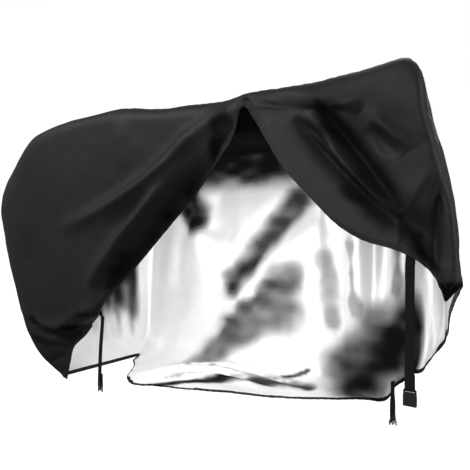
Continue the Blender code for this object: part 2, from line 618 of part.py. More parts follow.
def make_far_strap(far_panel, webbing, plastic):
    """The strap that is sewn inside the far side: it comes down past the hem and lies on the floor, toward -Y."""
    top, normal = find(INNER, FAR_STRAP_ROW, FOOT - 0.1, FAR_STRAP_TOP)
    edge = cloth(np.array([FAR_STRAP_ROW]), np.array([float(FAR_HEM)]))[0]
    tab, tab_across = sewn_tab(far_panel, FAR_SEWN, top, edge, normal)
    end = tab[-1]
    lying = FLOOR_CLEAR + STRAP_THICK / 2
    bar = np.array([*FAR_STRAP_BAR, lying + TURN])
    along = unit(np.array([bar[0] - end[0], bar[1] - end[1], 0]))
    across = np.array([-along[1], along[0], 0])
    low = bar + (0, 0, -TURN)
    landing = np.array([*(end + along * 0.040)[:2], lying])
    fall = route_of([end, (end + landing) / 2 + along * -0.006, landing, (landing + low) / 2, low])
    places = tab[:-1] + list(fall) + turned_round(bar, along, np.array([0, 0, -1.0]))[1:]
    strap("strap_front_far", places, FAR_SEWN, tab_across * np.sign(tab_across @ across), across, webbing)
    placed(plug("buckle_front_far", plastic), bar, across, along)


def hem_place(row, x):
    """The (x, height) just inside the near hem at this x, near this row."""
    rows = np.linspace(row - 1, row + 1, 81)
    hem = cloth(rows, np.full(len(rows), 0.0))
    nearest = np.argmin(np.abs(hem[:, 0] - x))
    return hem[nearest, 0], hem[nearest, 2] + 0.002


def main():
    for obj in list(bpy.data.objects):
        bpy.data.objects.remove(obj, do_unlink=True)
    panels = make_panels()
    webbing = material("webbing", (0.020, 0.020, 0.021), 0.75)
    plastic = material("buckle_plastic", (0.024, 0.024, 0.025), 0.45)
    make_straps(panels, webbing, plastic)


main()
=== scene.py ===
"""Looks of a fitted cover of coated cloth, hanging with one side lifted: fine folds, rolled hems, stitched seams, the
weave and the silver coating inside, webbing straps and their buckle halves."""

import math
from collections import namedtuple

import bpy
import numpy as np
from mathutils import Matrix, Vector, noise
from mathutils.bvhtree import BVHTree


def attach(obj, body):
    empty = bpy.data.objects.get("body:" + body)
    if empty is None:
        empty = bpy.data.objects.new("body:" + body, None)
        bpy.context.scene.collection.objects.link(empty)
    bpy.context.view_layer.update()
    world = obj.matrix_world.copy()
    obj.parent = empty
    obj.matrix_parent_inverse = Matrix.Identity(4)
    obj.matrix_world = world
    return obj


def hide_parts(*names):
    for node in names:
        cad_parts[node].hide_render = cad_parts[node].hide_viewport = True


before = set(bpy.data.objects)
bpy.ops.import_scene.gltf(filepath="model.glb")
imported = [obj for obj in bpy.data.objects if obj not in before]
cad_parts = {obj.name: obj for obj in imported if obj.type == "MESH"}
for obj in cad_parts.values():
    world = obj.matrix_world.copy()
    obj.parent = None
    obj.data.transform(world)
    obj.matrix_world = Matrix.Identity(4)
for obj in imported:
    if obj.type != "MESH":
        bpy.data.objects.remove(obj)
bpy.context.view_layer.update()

TOP = 1.02  # height of the origin over the floor
CLOTH = 0.0016  # thickness of the cloth away from its hems
SEAM_GAP = -0.0004  # below 0: the cut edges overlap at a seam, so no light comes through
FLOOR_CLEAR = 0.0008  # between the floor and what lies on it
OUTER, INNER = range(2)  # the material of each face of the cloth

# One row for each section round the cover, from the rear hem, over the top, to the front hem. The cloth runs from the
# near hem up to the near edge, across the gusset to the far edge, down to the foot of the far wall, and over the
# floor to the far hem. `near_round` and `far_round` are how far from an edge its rounding starts.
Section = namedtuple("Section", "near_hem near_edge near_round far_edge far_round foot far_hem")
SECTIONS = tuple(Section(*row) for row in (
    ((-0.688, -0.233, 0.004), (-0.74, -0.225, 0.004), 0.03, (-0.74, 0.24, 0.004), 0.05,
     (-0.735, 0.225, 0.004), (-0.7, 0.16, 0.004)),
    ((-0.635, -0.255, 0.09), (-0.805, -0.325, 0.12), 0.06, (-0.79, 0.33, 0.12), 0.1,
     (-0.72, 0.27, 0.012), (-0.64, 0.11, 0.004)),
    ((-0.56, -0.29, 0.17), (-0.85, -0.4, 0.28), 0.12, (-0.835, 0.4, 0.28), 0.14,
     (-0.69, 0.31, 0.012), (-0.56, 0.02, 0.004)),
    ((-0.4, -0.34, 0.262), (-0.885, -0.45, 0.5), 0.18, (-0.87, 0.44, 0.5), 0.18,
     (-0.63, 0.33, 0.01), (-0.48, -0.07, 0.004)),
    ((-0.284, -0.385, 0.344), (-0.905, -0.48, 0.76), 0.18, (-0.88, 0.465, 0.75), 0.18,
     (-0.52, 0.345, 0.01), (-0.4, -0.11, 0.004)),
    ((-0.164, -0.425, 0.442), (-0.735, -0.505, 0.928), 0.13, (-0.715, 0.475, 0.915), 0.13,
     (-0.38, 0.35, 0.01), (-0.3, -0.065, 0.004)),
    ((0.014, -0.465, 0.572), (-0.48, -0.52, 1.045), 0.08, (-0.45, 0.48, 1.02), 0.1,
     (-0.2, 0.355, 0.01), (-0.13, -0.015, 0.004)),
    ((0.172, -0.495, 0.698), (-0.09, -0.525, 1.068), 0.07, (-0.07, 0.48, 1.04), 0.09,
     (-0.03, 0.36, 0.01), (0.02, 0.06, 0.004)),
    ((0.333, -0.515, 0.815), (0.2, -0.525, 1.032), 0.06, (0.2, 0.48, 1.03), 0.08,
     (0.16, 0.36, 0.01), (0.2, 0.12, 0.004)),
    ((0.449, -0.525, 0.9), (0.4, -0.525, 1.022), 0.05, (0.38, 0.48, 1.022), 0.08,
     (0.28, 0.36, 0.01), (0.3, 0.17, 0.004)),
    ((0.493, -0.53, 0.984), (0.5, -0.525, 1.026), 0.03, (0.46, 0.48, 1.02), 0.08,
     (0.37, 0.36, 0.01), (0.38, 0.23, 0.004)),
    ((0.527, -0.53, 0.945), (0.58, -0.525, 1.03), 0.05, (0.53, 0.48, 1.016), 0.08,
     (0.45, 0.355, 0.01), (0.45, 0.285, 0.004)),
    ((0.603, -0.525, 0.833), (0.69, -0.525, 1.029), 0.06, (0.6, 0.48, 1.01), 0.08,
     (0.52, 0.345, 0.016), (0.51, 0.31, 0.004)),
    ((0.69, -0.525, 0.742), (0.8, -0.525, 1.032), 0.06, (0.66, 0.48, 1.005), 0.08,
     (0.57, 0.335, 0.07), (0.56, 0.3, 0.02)),
    ((0.765, -0.525, 0.673), (0.896, -0.525, 1.043), 0.06, (0.7, 0.48, 0.995), 0.08,
     (0.615, 0.33, 0.14), (0.6, 0.298, 0.08)),
    ((0.82, -0.523, 0.643), (0.93, -0.52, 1.016), 0.05, (0.72, 0.475, 0.96), 0.09,
     (0.645, 0.33, 0.17), (0.63, 0.294, 0.105)),
    ((0.875, -0.521, 0.628), (0.95, -0.515, 0.92), 0.05, (0.738, 0.465, 0.84), 0.09,
     (0.675, 0.33, 0.19), (0.655, 0.29, 0.128)),
    ((0.925, -0.52, 0.605), (0.978, -0.505, 0.8), 0.05, (0.752, 0.44, 0.62), 0.09,
     (0.702, 0.33, 0.215), (0.685, 0.287, 0.155)),
    ((0.962, -0.518, 0.572), (1.002, -0.495, 0.69), 0.045, (0.76, 0.4, 0.41), 0.08,
     (0.732, 0.33, 0.24), (0.715, 0.283, 0.187)),
    ((0.983, -0.515, 0.524), (1.01, -0.485, 0.56), 0.03, (0.762, 0.34, 0.255), 0.04,
     (0.756, 0.31, 0.24), (0.742, 0.275, 0.225)),
))
FOOT_ROUND = 0.1  # how far from the foot its rounding starts
ROUND_SHARE = 0.48  # the most of a short side that a rounding takes

# Where each stretch of a section starts, in the measure w that runs across the cloth from the near hem.
NEAR_SIDE, NEAR_EDGE, ACROSS, FAR_EDGE, WALL, FOOT, FLOOR, FAR_HEM = range(8)
NEAR_SEAM = NEAR_EDGE + 0.85
FAR_SEAM = FAR_EDGE + 0.15

# Each fold is a ridge (depth over 0, outward) or a trough along a bend through three places. `across` is the distance
# from its crest at which it has mostly died out. Places are (x, height) on the near side, (x, drop down the
# cloth from the far edge) on the far side, (x, y) on top, and (y, height) on both ends.
Fold = namedtuple("Fold", "start middle end depth across")
NEAR_FOLDS = (
    Fold((0.325, 0.938), (0.07, 0.795), (-0.4, 0.665), 0.028, 0.028),
    Fold((0.2, 0.828), (0.05, 0.745), (-0.12, 0.675), -0.03, 0.026),
    Fold((0.192, 0.818), (0.0, 0.655), (-0.29, 0.47), 0.028, 0.036),
    Fold((0.4, 0.885), (0.155, 0.695), (-0.24, 0.41), -0.042, 0.044),
    Fold((-0.005, 1.03), (0.005, 0.95), (0.014, 0.86), 0.008, 0.035),
    Fold((-0.7, 0.88), (-0.69, 0.72), (-0.68, 0.54), 0.012, 0.07),
    Fold((-0.8, 0.345), (-0.6, 0.27), (-0.27, 0.4), 0.022, 0.026),
    Fold((-0.8, 0.29), (-0.6, 0.232), (-0.42, 0.285), -0.034, 0.026),
    Fold((-0.754, 0.064), (-0.702, 0.1), (-0.629, 0.124), -0.01, 0.018),
    Fold((0.52, 1.002), (0.65, 0.964), (0.8, 0.939), -0.01, 0.022),
    Fold((0.63, 0.985), (0.73, 0.957), (0.83, 0.932), 0.008, 0.022),
    Fold((0.636, 0.936), (0.752, 0.806), (0.89, 0.68), -0.018, 0.026),
    Fold((0.706, 0.955), (0.796, 0.832), (0.892, 0.706), -0.02, 0.028),
    Fold((0.56, 0.935), (0.7, 0.728), (0.9, 0.64), 0.012, 0.032),
    Fold((0.82, 0.935), (0.87, 0.885), (0.91, 0.83), 0.024, 0.05),
    Fold((0.885, 0.69), (0.93, 0.668), (0.958, 0.586), -0.032, 0.03),
    Fold((0.99, 0.775), (0.966, 0.7), (0.964, 0.57), -0.012, 0.024),
)
FAR_FOLDS = (
    Fold((0.12, 0.26), (-0.14, 0.5), (-0.4, 0.74), 0.038, 0.07),
    Fold((0.22, 0.36), (-0.02, 0.6), (-0.28, 0.84), -0.041, 0.08),
    Fold((-0.46, 0.14), (-0.5, 0.36), (-0.42, 0.58), -0.032, 0.055),
    Fold((-0.36, 0.12), (-0.36, 0.3), (-0.28, 0.46), 0.027, 0.06),
    Fold((-0.6, 0.2), (-0.62, 0.45), (-0.56, 0.75), 0.024, 0.06),
    Fold((-0.46, 0.88), (-0.12, 0.9), (0.24, 0.88), 0.03, 0.045),
    Fold((0.26, 0.2), (0.29, 0.48), (0.34, 0.8), 0.027, 0.045),
    Fold((0.38, 0.16), (0.4, 0.5), (0.42, 0.86), -0.03, 0.045),
    Fold((0.49, 0.16), (0.5, 0.45), (0.5, 0.78), 0.027, 0.04),
    Fold((0.58, 0.18), (0.6, 0.42), (0.59, 0.66), -0.027, 0.038),
    Fold((0.66, 0.2), (0.67, 0.42), (0.66, 0.62), 0.019, 0.034),
    Fold((-0.56, 1.1), (-0.2, 1.09), (0.3, 1.06), -0.022, 0.022),
    Fold((-0.52, 1.18), (-0.2, 1.17), (0.24, 1.13), -0.032, 0.026),
    Fold((-0.46, 1.27), (-0.2, 1.25), (0.16, 1.2), -0.024, 0.022),
)
TOP_FOLDS = (
    Fold((-0.55, -0.02), (0.05, -0.01), (0.62, 0.0), -0.03, 0.14),
    Fold((-0.12, -0.26), (-0.1, -0.24), (-0.08, -0.22), 0.018, 0.11),
    Fold((-0.12, 0.2), (-0.1, 0.2), (-0.08, 0.2), 0.018, 0.11),
    Fold((0.36, -0.36), (0.38, -0.24), (0.36, -0.12), 0.016, 0.07),
    Fold((0.36, 0.1), (0.38, 0.2), (0.36, 0.34), 0.016, 0.07),
    Fold((0.14, -0.3), (0.16, 0.0), (0.12, 0.3), -0.014, 0.08),
    Fold((-0.36, -0.28), (-0.42, 0.0), (-0.38, 0.28), 0.01, 0.07),
)
REAR_FOLDS = (
    Fold((-0.16, 0.15), (-0.2, 0.45), (-0.24, 0.82), 0.016, 0.06),
    Fold((0.0, 0.12), (0.0, 0.45), (-0.02, 0.85), -0.026, 0.09),
    Fold((0.17, 0.15), (0.2, 0.45), (0.22, 0.8), 0.016, 0.06),
    Fold((-0.3, 0.24), (0.0, 0.2), (0.3, 0.25), -0.014, 0.03),
)
FRONT_FOLDS = (
    Fold((-0.4, 0.54), (-0.22, 0.46), (0.06, 0.37), -0.026, 0.075),
    Fold((-0.3, 0.9), (-0.31, 0.7), (-0.33, 0.54), 0.012, 0.05),
    Fold((-0.1, 0.88), (-0.12, 0.66), (-0.14, 0.46), -0.02, 0.07),
    Fold((0.12, 0.86), (0.12, 0.62), (0.1, 0.38), 0.016, 0.06),
    Fold((0.28, 0.84), (0.27, 0.58), (0.24, 0.32), -0.014, 0.05),
)
FOLD_STEPS = 16  # straight pieces into which a bend is cut to find the nearest one
FOLD_FADE, CREASE_FADE = 0.7, 0.8  # powers by which folds and creases fade toward their ends: the lower, the later
LAST = len(SECTIONS) - 1
STEPS_A_ROW = 16  # grid steps from one section to the next

# Where the top's folds fade: this far from its middle in w, and at these rows, where the folds of the ends take over.
TOP_HALF = (0.42, 0.62)
REAR_ROWS = (4.2, 5.4)
FRONT_ROWS = (14.2, 15.6)
END_ROWS = (1.2, 0.8)  # rows from the rear and the front hem over which all folds fade to END_FOLDS of their depth
END_FOLDS = 0.25
DROP_STEPS = CURVE_STEPS = 24

STITCH_PITCH = 0.0045  # from one stitch to the next
STITCH_LONG = 0.0034
STITCH_BOW = (-0.6, 0.9, -0.6)  # how high the start, middle and end of a stitch lie, in radii of its thread
THREAD = 0.0003  # radius
HEM_STITCH, EDGE_STITCH = 0.015, 0.003  # from a hem to its two rows of stitches
SEAM_STITCH = 0.007  # from a seam to the row beside it

STRAP_WIDE, STRAP_THICK = 0.02, 0.0014
STRAP_OFF = 0.0005  # between a strap's sewn end and the cloth
RING = 16  # corners of a strap's cross-section
SIDE_POWER, FACE_POWER = 0.3, 0.65  # how square the cross-section is: the lower, the squarer
TURN, TAIL = 0.0034, 0.032  # the strap's turn round a buckle's bar, and the end that comes back from it
TAIL_CLOSES = 0.22  # the share of the gap to the strap that the tail closes toward its end
TWIST = (0.046, 0.096)  # the lengths along a strap between which it turns to lie along the bar
PAST_HEM = 0.012  # how far a strap runs straight on past the hem
HANG = 0.02  # the straight length above the bar
LANDING = 0.04  # how far beyond the hem a strap that lies down reaches the floor
SAG = 0.006  # how far it falls back on its way there
BOX_HALF = 0.007  # half the width of the box of stitches
BOX_ROWS = (1, 8)  # the steps along the sewn end at which the box starts and ends
TAIL_ROWS = (0.55, 0.78)  # the shares of the tail at which it is sewn to the strap
TAB_STEPS, FALL_STEPS, LYING_STEPS, TURN_STEPS = 14, 80, 60, 12
# One row for each strap: its sewn end's top and lower end on the cloth, the way out from the cloth there, the middle of
# the bar it turns round, the way it runs there, and the side of the bar it comes down on.
Strap = namedtuple("Strap", "name cloth top end out bar along front")
STRAPS = (
    Strap("rear_near", "near_panel", (-0.2697, -0.3975, 0.3869), (-0.2693, -0.3811, 0.3439), (0.0042, 0.9338, 0.3579),
          (-0.2635, -0.3851, 0.105), (0, 0, -1), (0, -1, 0)),
    Strap("front_near", "near_panel", (0.9093, -0.5007, 0.6404), (0.9113, -0.5139, 0.5964), (-0.4382, 0.8553, -0.2764),
          (0.9116, -0.5169, 0.335), (0, 0, -1), (0, -1, 0)),
    Strap("front_far", "far_panel", (0.583, 0.3117, 0.093), (0.5917, 0.286, 0.0559), (-0.4795, -0.7697, 0.4214),
          (0.64, 0.15, 0.0049), (0.3346, -0.9424, 0), (0, 0, -1)),
)

# Creases are finer than the folds, and each flank has its own reach from the crest: left and right are as seen from
# above while going from the start to the end.
Crease = namedtuple("Crease", "start middle end depth left right")
NEAR_CREASES = tuple(Crease(*row) for row in (
    ((0.285, 0.862), (0.075, 0.69), (-0.23, 0.47), 0.02, 0.028, 0.024),
    ((0.25, 0.855), (0.06, 0.752), (-0.14, 0.675), 0.02, 0.026, 0.026),
    ((0.4, 0.92), (0.16, 0.79), (-0.24, 0.66), 0.012, 0.036, 0.036),
    ((0.19, 0.8), (-0.04, 0.625), (-0.33, 0.44), 0.012, 0.03, 0.026),
    ((0.845, 0.905), (0.878, 0.872), (0.905, 0.838), 0.01, 0.013, 0.013),
    ((0.5, 0.985), (0.36, 0.95), (0.12, 0.835), 0.014, 0.024, 0.024),
    ((0.636, 0.936), (0.752, 0.806), (0.89, 0.68), -0.01, 0.017, 0.017),
    ((0.69, 0.915), (0.78, 0.796), (0.888, 0.696), 0.012, 0.016, 0.016),
    ((0.706, 0.955), (0.796, 0.832), (0.892, 0.706), -0.012, 0.019, 0.019),
    ((0.832, 0.892), (0.86, 0.854), (0.893, 0.822), -0.018, 0.017, 0.017),
    ((0.99, 0.775), (0.966, 0.7), (0.964, 0.57), -0.012, 0.01, 0.01),
    ((-0.5, 0.31), (-0.38, 0.334), (-0.25, 0.356), -0.014, 0.014, 0.014),
    ((-0.766, 0.238), (-0.65, 0.205), (-0.53, 0.208), -0.012, 0.012, 0.012),
    ((0.33, 0.942), (0.075, 0.798), (-0.42, 0.668), 0.01, 0.012, 0.03),
    ((0.19, 0.816), (0.06, 0.74), (-0.09, 0.65), -0.008, 0.03, 0.01),
    ((0.196, 0.816), (0.006, 0.65), (-0.29, 0.462), 0.008, 0.012, 0.03),
    ((0.44, 0.905), (0.165, 0.69), (-0.2, 0.412), -0.012, 0.014, 0.06),
    ((-0.788, 0.257), (-0.67, 0.245), (-0.56, 0.222), -0.007, 0.01, 0.01),
    ((-0.766, 0.236), (-0.65, 0.204), (-0.53, 0.206), -0.008, 0.012, 0.008),
    ((-0.533, 0.286), (-0.42, 0.3), (-0.29, 0.322), 0.009, 0.01, 0.007),
    ((-0.56, 0.262), (-0.44, 0.28), (-0.3, 0.306), -0.008, 0.008, 0.012),
    ((-0.64, 0.178), (-0.612, 0.164), (-0.585, 0.16), -0.006, 0.008, 0.01),
    ((-0.754, 0.064), (-0.702, 0.098), (-0.629, 0.124), -0.006, 0.01, 0.006),
    ((0.5, 0.986), (0.571, 0.974), (0.665, 0.957), 0.006, 0.02, 0.008),
    ((0.632, 0.938), (0.69, 0.896), (0.73, 0.85), -0.012, 0.012, 0.008),
    ((0.64, 0.932), (0.752, 0.804), (0.89, 0.684), -0.008, 0.008, 0.012),
    ((0.706, 0.952), (0.796, 0.83), (0.893, 0.708), -0.01, 0.012, 0.008),
    ((0.725, 0.88), (0.782, 0.795), (0.86, 0.716), 0.006, 0.008, 0.01),
    ((0.833, 0.906), (0.866, 0.879), (0.904, 0.848), 0.007, 0.024, 0.007),
    ((0.868, 0.897), (0.914, 0.868), (0.956, 0.838), -0.006, 0.012, 0.018),
    ((0.954, 0.795), (0.927, 0.75), (0.902, 0.712), 0.006, 0.008, 0.03),
))
FAR_CREASES = tuple(Crease(*row) for row in (
    ((-0.42, 0.1), (-0.3, 0.3), (-0.33, 0.56), 0.01, 0.016, 0.04),
    ((-0.55, 0.26), (-0.44, 0.38), (-0.3, 0.42), 0.01, 0.02, 0.034),
    ((-0.25, 0.18), (-0.15, 0.32), (-0.16, 0.5), -0.008, 0.014, 0.04),
    ((0.18, 0.25), (-0.08, 0.46), (-0.33, 0.72), 0.01, 0.04, 0.016),
    ((0.06, 0.56), (-0.06, 0.7), (-0.3, 0.8), -0.008, 0.016, 0.034),
    ((-0.5, 1.14), (-0.15, 1.12), (0.28, 1.08), 0.006, 0.01, 0.02),
    ((-0.48, 1.225), (-0.15, 1.21), (0.22, 1.15), 0.006, 0.012, 0.018),
    ((0.22, 0.16), (0.24, 0.46), (0.3, 0.78), 0.008, 0.012, 0.026),
    ((0.33, 0.14), (0.34, 0.48), (0.37, 0.84), -0.008, 0.012, 0.024),
    ((0.44, 0.15), (0.45, 0.48), (0.47, 0.84), 0.008, 0.024, 0.012),
    ((0.54, 0.16), (0.55, 0.44), (0.56, 0.74), 0.008, 0.012, 0.02),
))
# Painted shade, painted shadows and painted dark reflections on the far side's coating, drawn as dark matt patches:
# bends in (x, drop) as for FAR_FOLDS, how dark the middle looks (1 is black) and how far off the bend it ends, with a
# wavy border.
Shade = namedtuple("Shade", "start middle end dark across")
FAR_SHADES = tuple(Shade(*row) for row in (
    ((-0.7, 0.0), (-0.1, 0.06), (0.45, 0.0), 0.96, 0.13),
    ((-0.62, 0.12), (-0.56, 0.22), (-0.51, 0.31), 0.92, 0.08),
    ((0.1, 0.24), (-0.06, 0.44), (-0.26, 0.68), 0.74, 0.075),
    ((0.05, 0.76), (-0.12, 0.85), (-0.34, 0.99), 0.56, 0.105),
    ((0.06, 0.62), (0.03, 0.7), (-0.04, 0.78), 0.58, 0.09),
    ((0.02, 0.66), (-0.12, 0.76), (-0.3, 0.92), 0.62, 0.045),
    ((-0.32, 1.4), (-0.08, 1.24), (0.24, 1.1), 0.88, 0.036),
    ((-0.36, 1.3), (-0.12, 1.2), (0.2, 1.08), 0.35, 0.012),
    ((-0.48, 1.03), (-0.14, 1.15), (0.2, 1.0), 0.85, 0.017),
    ((0.25, 0.5), (0.26, 0.62), (0.3, 0.78), 0.34, 0.048),
    ((0.36, 0.44), (0.38, 0.58), (0.41, 0.74), 0.3, 0.02),
    ((0.56, 0.38), (0.57, 0.5), (0.57, 0.62), 0.45, 0.035),
    ((0.42, 0.98), (0.5, 0.89), (0.66, 0.74), 0.93, 0.15),
))
# The same columns for painted shade in the deepest hollows of the near side's outer face, in (x, height) as for
# NEAR_FOLDS.
NEAR_SHADES = tuple(Shade(*row) for row in (
    ((0.5, 1.004), (0.65, 0.964), (0.8, 0.939), 0.7, 0.012),
    ((0.45, 0.935), (0.296, 0.806), (0.14, 0.682), 0.86, 0.024),
    ((0.2, 0.722), (0.006, 0.582), (-0.17, 0.462), 0.74, 0.027),
    ((-0.16, 0.45), (-0.24, 0.39), (-0.34, 0.33), 0.8, 0.02),
    ((0.42, 0.94), (0.39, 0.88), (0.35, 0.83), 0.9, 0.03),
    ((-0.72, 0.285), (-0.61, 0.25), (-0.51, 0.275), 0.85, 0.022),
    ((-0.52, 0.275), (-0.42, 0.31), (-0.3, 0.35), 0.85, 0.026),
    ((-0.78, 0.2), (-0.64, 0.19), (-0.48, 0.235), 0.7, 0.024),
    ((-0.52, 0.235), (-0.44, 0.225), (-0.38, 0.27), 0.6, 0.04),
    ((-0.7, 0.045), (-0.655, 0.075), (-0.6, 0.09), 0.6, 0.022),
    ((0.88, 0.7), (0.92, 0.645), (0.948, 0.59), 0.92, 0.031),
    ((0.64, 0.93), (0.752, 0.806), (0.86, 0.7), 0.55, 0.02),
    ((0.706, 0.955), (0.796, 0.832), (0.88, 0.715), 0.8, 0.028),
    ((0.78, 0.76), (0.86, 0.69), (0.93, 0.655), 0.8, 0.03),
    ((0.7, 1.0), (0.775, 0.955), (0.835, 0.912), 0.28, 0.05),
))
SHADE_WAVES = ((0.03, 0.1), (0.008, 0.035))  # how far the border wanders, and over what span
STREAKS = 0.35  # how much the darkness varies within a shade
STREAK_SPAN = 0.05
STREAK_STRETCH = (0.5, 1.0, 0.9)
SHADE_EDGE = (0.25, 1.35)  # the shares of its reach between which a shade fades
DARKEST = 0.98
FAR_SHADE_START = (-0.74, -0.64)  # the x between which the far side's shades set in, clear of the rear seam
DEEPEN = 2.2  # how much darker half-dark painted shade is drawn
# The gusset's inside lies in deep shade: under the top between these rows, down the front to these heights, and down
# the rear in stripes that end at heights around these.
UNDER_TOP_START, UNDER_TOP_END, FRONT_START = (4.6, 5.6), (14.2, 15.2), (14.5, 15.5)
FRONT_HEIGHTS, REAR_HEIGHTS = (0.28, 0.36), (0.12, 0.4)
SHADE_ON, SHADE_OFF = (NEAR_EDGE - 0.1, NEAR_EDGE + 0.3), (FAR_SEAM, FAR_SEAM + 0.2)  # across it, in w
STRIPE_REACH, STRIPE_SPAN, STRIPE_STRETCH = 0.1, 0.045, (1, 1, 0.3)
REAR_DARK = 0.92
HOLLOW = (0.004, 0.03)  # depths below the smooth form at which painted shade on the near side sets in and is darkest
HOLLOW_DARK = 0.4
HEM_LIT = (0.004, 0.012)  # from the hem: where its shades end, and where they are whole
# Painted shade on the near side's lower front tip, where it turns in: black beyond these x and below these heights.
TIP_X, TIP_HEIGHT, TIP_DARK = (0.96, 0.972), (0.557, 0.57), 0.97
UNEVEN = 0.006  # how far the cloth wanders from its smooth form
UNEVEN_SPAN = 0.22
CRUMPLE = 0.0016  # small dents
CRUMPLE_SPAN = 0.045
CRUMPLE_SEED, STREAK_SEED = 7.3, 11.0  # other places in the same fixed noise

HEM_WIDE = 0.018  # the hem is turned in, so the cloth's outer face shows there
HEM_THICK = 0.0016  # what the rolled edge adds to the cloth
HEM_STEP = (0.86, 1.06)  # the shares of its width between which it runs out
PUCKER = 0.0007  # ripples along a row of stitches
PUCKER_SPAN = 0.0286
PUCKER_SWING, PUCKER_DRIFT = 2.4, 9.1  # how far the ripples' beat wanders, and how fast
PUCKER_REACH = 0.02
SEAM_DIPS = ((0, 0.004, 0.001), (SEAM_STITCH, 0.0025, 0.0004))  # dips beside a seam: how far from it, wide, deep


def through(rows, at):
    """A smooth curve through the rows, read at row numbers `at`. It never swings past a row."""
    steps = np.diff(rows, axis=0)
    before, after = steps[:-1], steps[1:]
    same = before * after > 0
    middle = np.where(same, 2 * before * after / np.where(same, before + after, 1), 0)
    slopes = np.concatenate([steps[:1], middle, steps[-1:]])
    first = np.clip(np.floor(at).astype(int), 0, len(rows) - 2)
    part = (at - first)[:, None]
    start, end = rows[first], rows[first + 1]
    rise = part * part * (3 - 2 * part)
    return (
        start + rise * (end - start)
        + part * (1 - part) ** 2 * slopes[first]
        - part * part * (1 - part) * slopes[first + 1]
    )


def column(name):
    values = np.array([getattr(section, name) for section in SECTIONS], float)
    return values if values.ndim > 1 else values[:, None]


def toward(corner, other, reach):
    """The place `reach` from the corner toward the other, and no more than its share of the way."""
    way = other - corner
    far = np.linalg.norm(way, axis=1, keepdims=True)
    return corner + way * np.minimum(reach, ROUND_SHARE * far) / np.maximum(far, 1e-9)


def base(rows, across):
    """Places on the smooth form: `rows` along the cover, `across` in the measure w, as equal flat arrays."""
    near_hem, near_edge, near_round, far_edge, far_round, foot, far_hem = (
        through(column(name), rows) for name in Section._fields
    )
    stops = (
        near_hem, toward(near_edge, near_hem, near_round), toward(near_edge, far_edge, near_round),
        toward(far_edge, near_edge, far_round), toward(far_edge, foot, far_round),
        toward(foot, far_edge, FOOT_ROUND), toward(foot, far_hem, FOOT_ROUND), far_hem,
    )
    corners = {NEAR_EDGE: near_edge, FAR_EDGE: far_edge, FOOT: foot}
    places = np.empty((len(rows), 3))
    stretch = np.clip(np.floor(across).astype(int), NEAR_SIDE, FLOOR)
    for kind in range(FAR_HEM):
        here = stretch == kind
        part = (across[here] - kind)[:, None]
        start, end = stops[kind][here], stops[kind + 1][here]
        if kind in corners:
            corner = corners[kind][here]
            places[here] = (1 - part) ** 2 * start + 2 * part * (1 - part) * corner + part**2 * end
        else:
            places[here] = start + part * (end - start)
    return places


def normals_on(grid, rows, across):
    """Outward directions on a grid of places, whose row numbers and measures w are these."""
    along = np.gradient(grid, rows, axis=0)
    over = np.gradient(grid, across, axis=1)
    normal = np.cross(along, over)
    return normal / np.maximum(np.linalg.norm(normal, axis=2, keepdims=True), 1e-12)


def bend(start, middle, end):
    """Places along a bend through three places."""
    part = np.linspace(0, 1, FOLD_STEPS + 1)
    start, middle, end = np.array(start), np.array(middle), np.array(end)
    middle = 2 * middle - (start + end) / 2
    return np.outer((1 - part) ** 2, start) + np.outer(2 * part * (1 - part), middle) + np.outer(part**2, end)


def from_bend(start, middle, end, first, second):
    """How far places with these two coordinates lie from a bend, where along it (0 to 1), and on which side."""
    line = bend(start, middle, end)
    nearest = np.full(len(first), np.inf)
    place, side = np.zeros(len(first)), np.zeros(len(first))
    for i in range(FOLD_STEPS):
        way = line[i + 1] - line[i]
        offset = np.stack([first, second], axis=1) - line[i]
        share = np.clip(offset @ way / (way @ way), 0, 1)
        apart = offset - np.outer(share, way)
        far = np.linalg.norm(apart, axis=1)
        closer = far < nearest
        nearest[closer] = far[closer]
        place[closer] = ((i + share) / FOLD_STEPS)[closer]
        side[closer] = (way[0] * apart[:, 1] - way[1] * apart[:, 0])[closer]
    return nearest, place, side


def folded(folds, first, second):
    """How far the folds and creases lift the cloth at places with these two coordinates."""
    lift = np.zeros(len(first))
    for fold in folds:
        nearest, place, side = from_bend(*fold[:3], first, second)
        if isinstance(fold, Crease):
            reach = np.where(side > 0, fold.left, fold.right)
            fade = np.sin(math.pi * place) ** CREASE_FADE
        else:
            reach = fold.across
            ends = min(1.0, reach / math.dist(fold.start, fold.end))
            fade = ends + (1 - ends) * np.sin(math.pi * place) ** FOLD_FADE
        lift += fold.depth * fade * np.exp(-((nearest / reach) ** 2))
    return lift


def shaded(shades, first, second, places):
    """How dark these shades make places with these two coordinates, from 0 to 1."""
    waves = sum(far * wander(places, span, span) for far, span in SHADE_WAVES)
    streaks = 1 + STREAKS * wander(places * STREAK_STRETCH, STREAK_SPAN, STREAK_SEED)
    dark = np.zeros(len(first))
    for shade in shades:
        nearest = from_bend(*shade[:3], first, second)[0] + waves
        dark = np.maximum(dark, shade.dark * (1 - smooth(nearest / shade.across, *SHADE_EDGE)))
    return np.clip(dark * streaks, 0, DARKEST)


def smooth(value, low, high):
    """0 up to low, 1 from high on, and a smooth rise between."""
    part = np.clip((value - low) / (high - low), 0, 1)
    return part * part * (3 - 2 * part)


def drop_of(rows, across):
    """How far down the cloth a place of the far side lies from the far edge."""
    total = np.zeros(len(rows))
    before = base(rows, np.full(len(rows), float(FAR_SEAM)))
    for i in range(1, DROP_STEPS + 1):
        here = base(rows, FAR_SEAM + np.maximum(across - FAR_SEAM, 0) * i / DROP_STEPS)
        total += np.linalg.norm(here - before, axis=1)
        before = here
    return total


def wander(places, span, seed=0.0):
    """Fixed noise at these places, about as broad as the span."""
    return np.array([noise.noise(Vector(place) / span + Vector((seed, 0, 0))) for place in places])


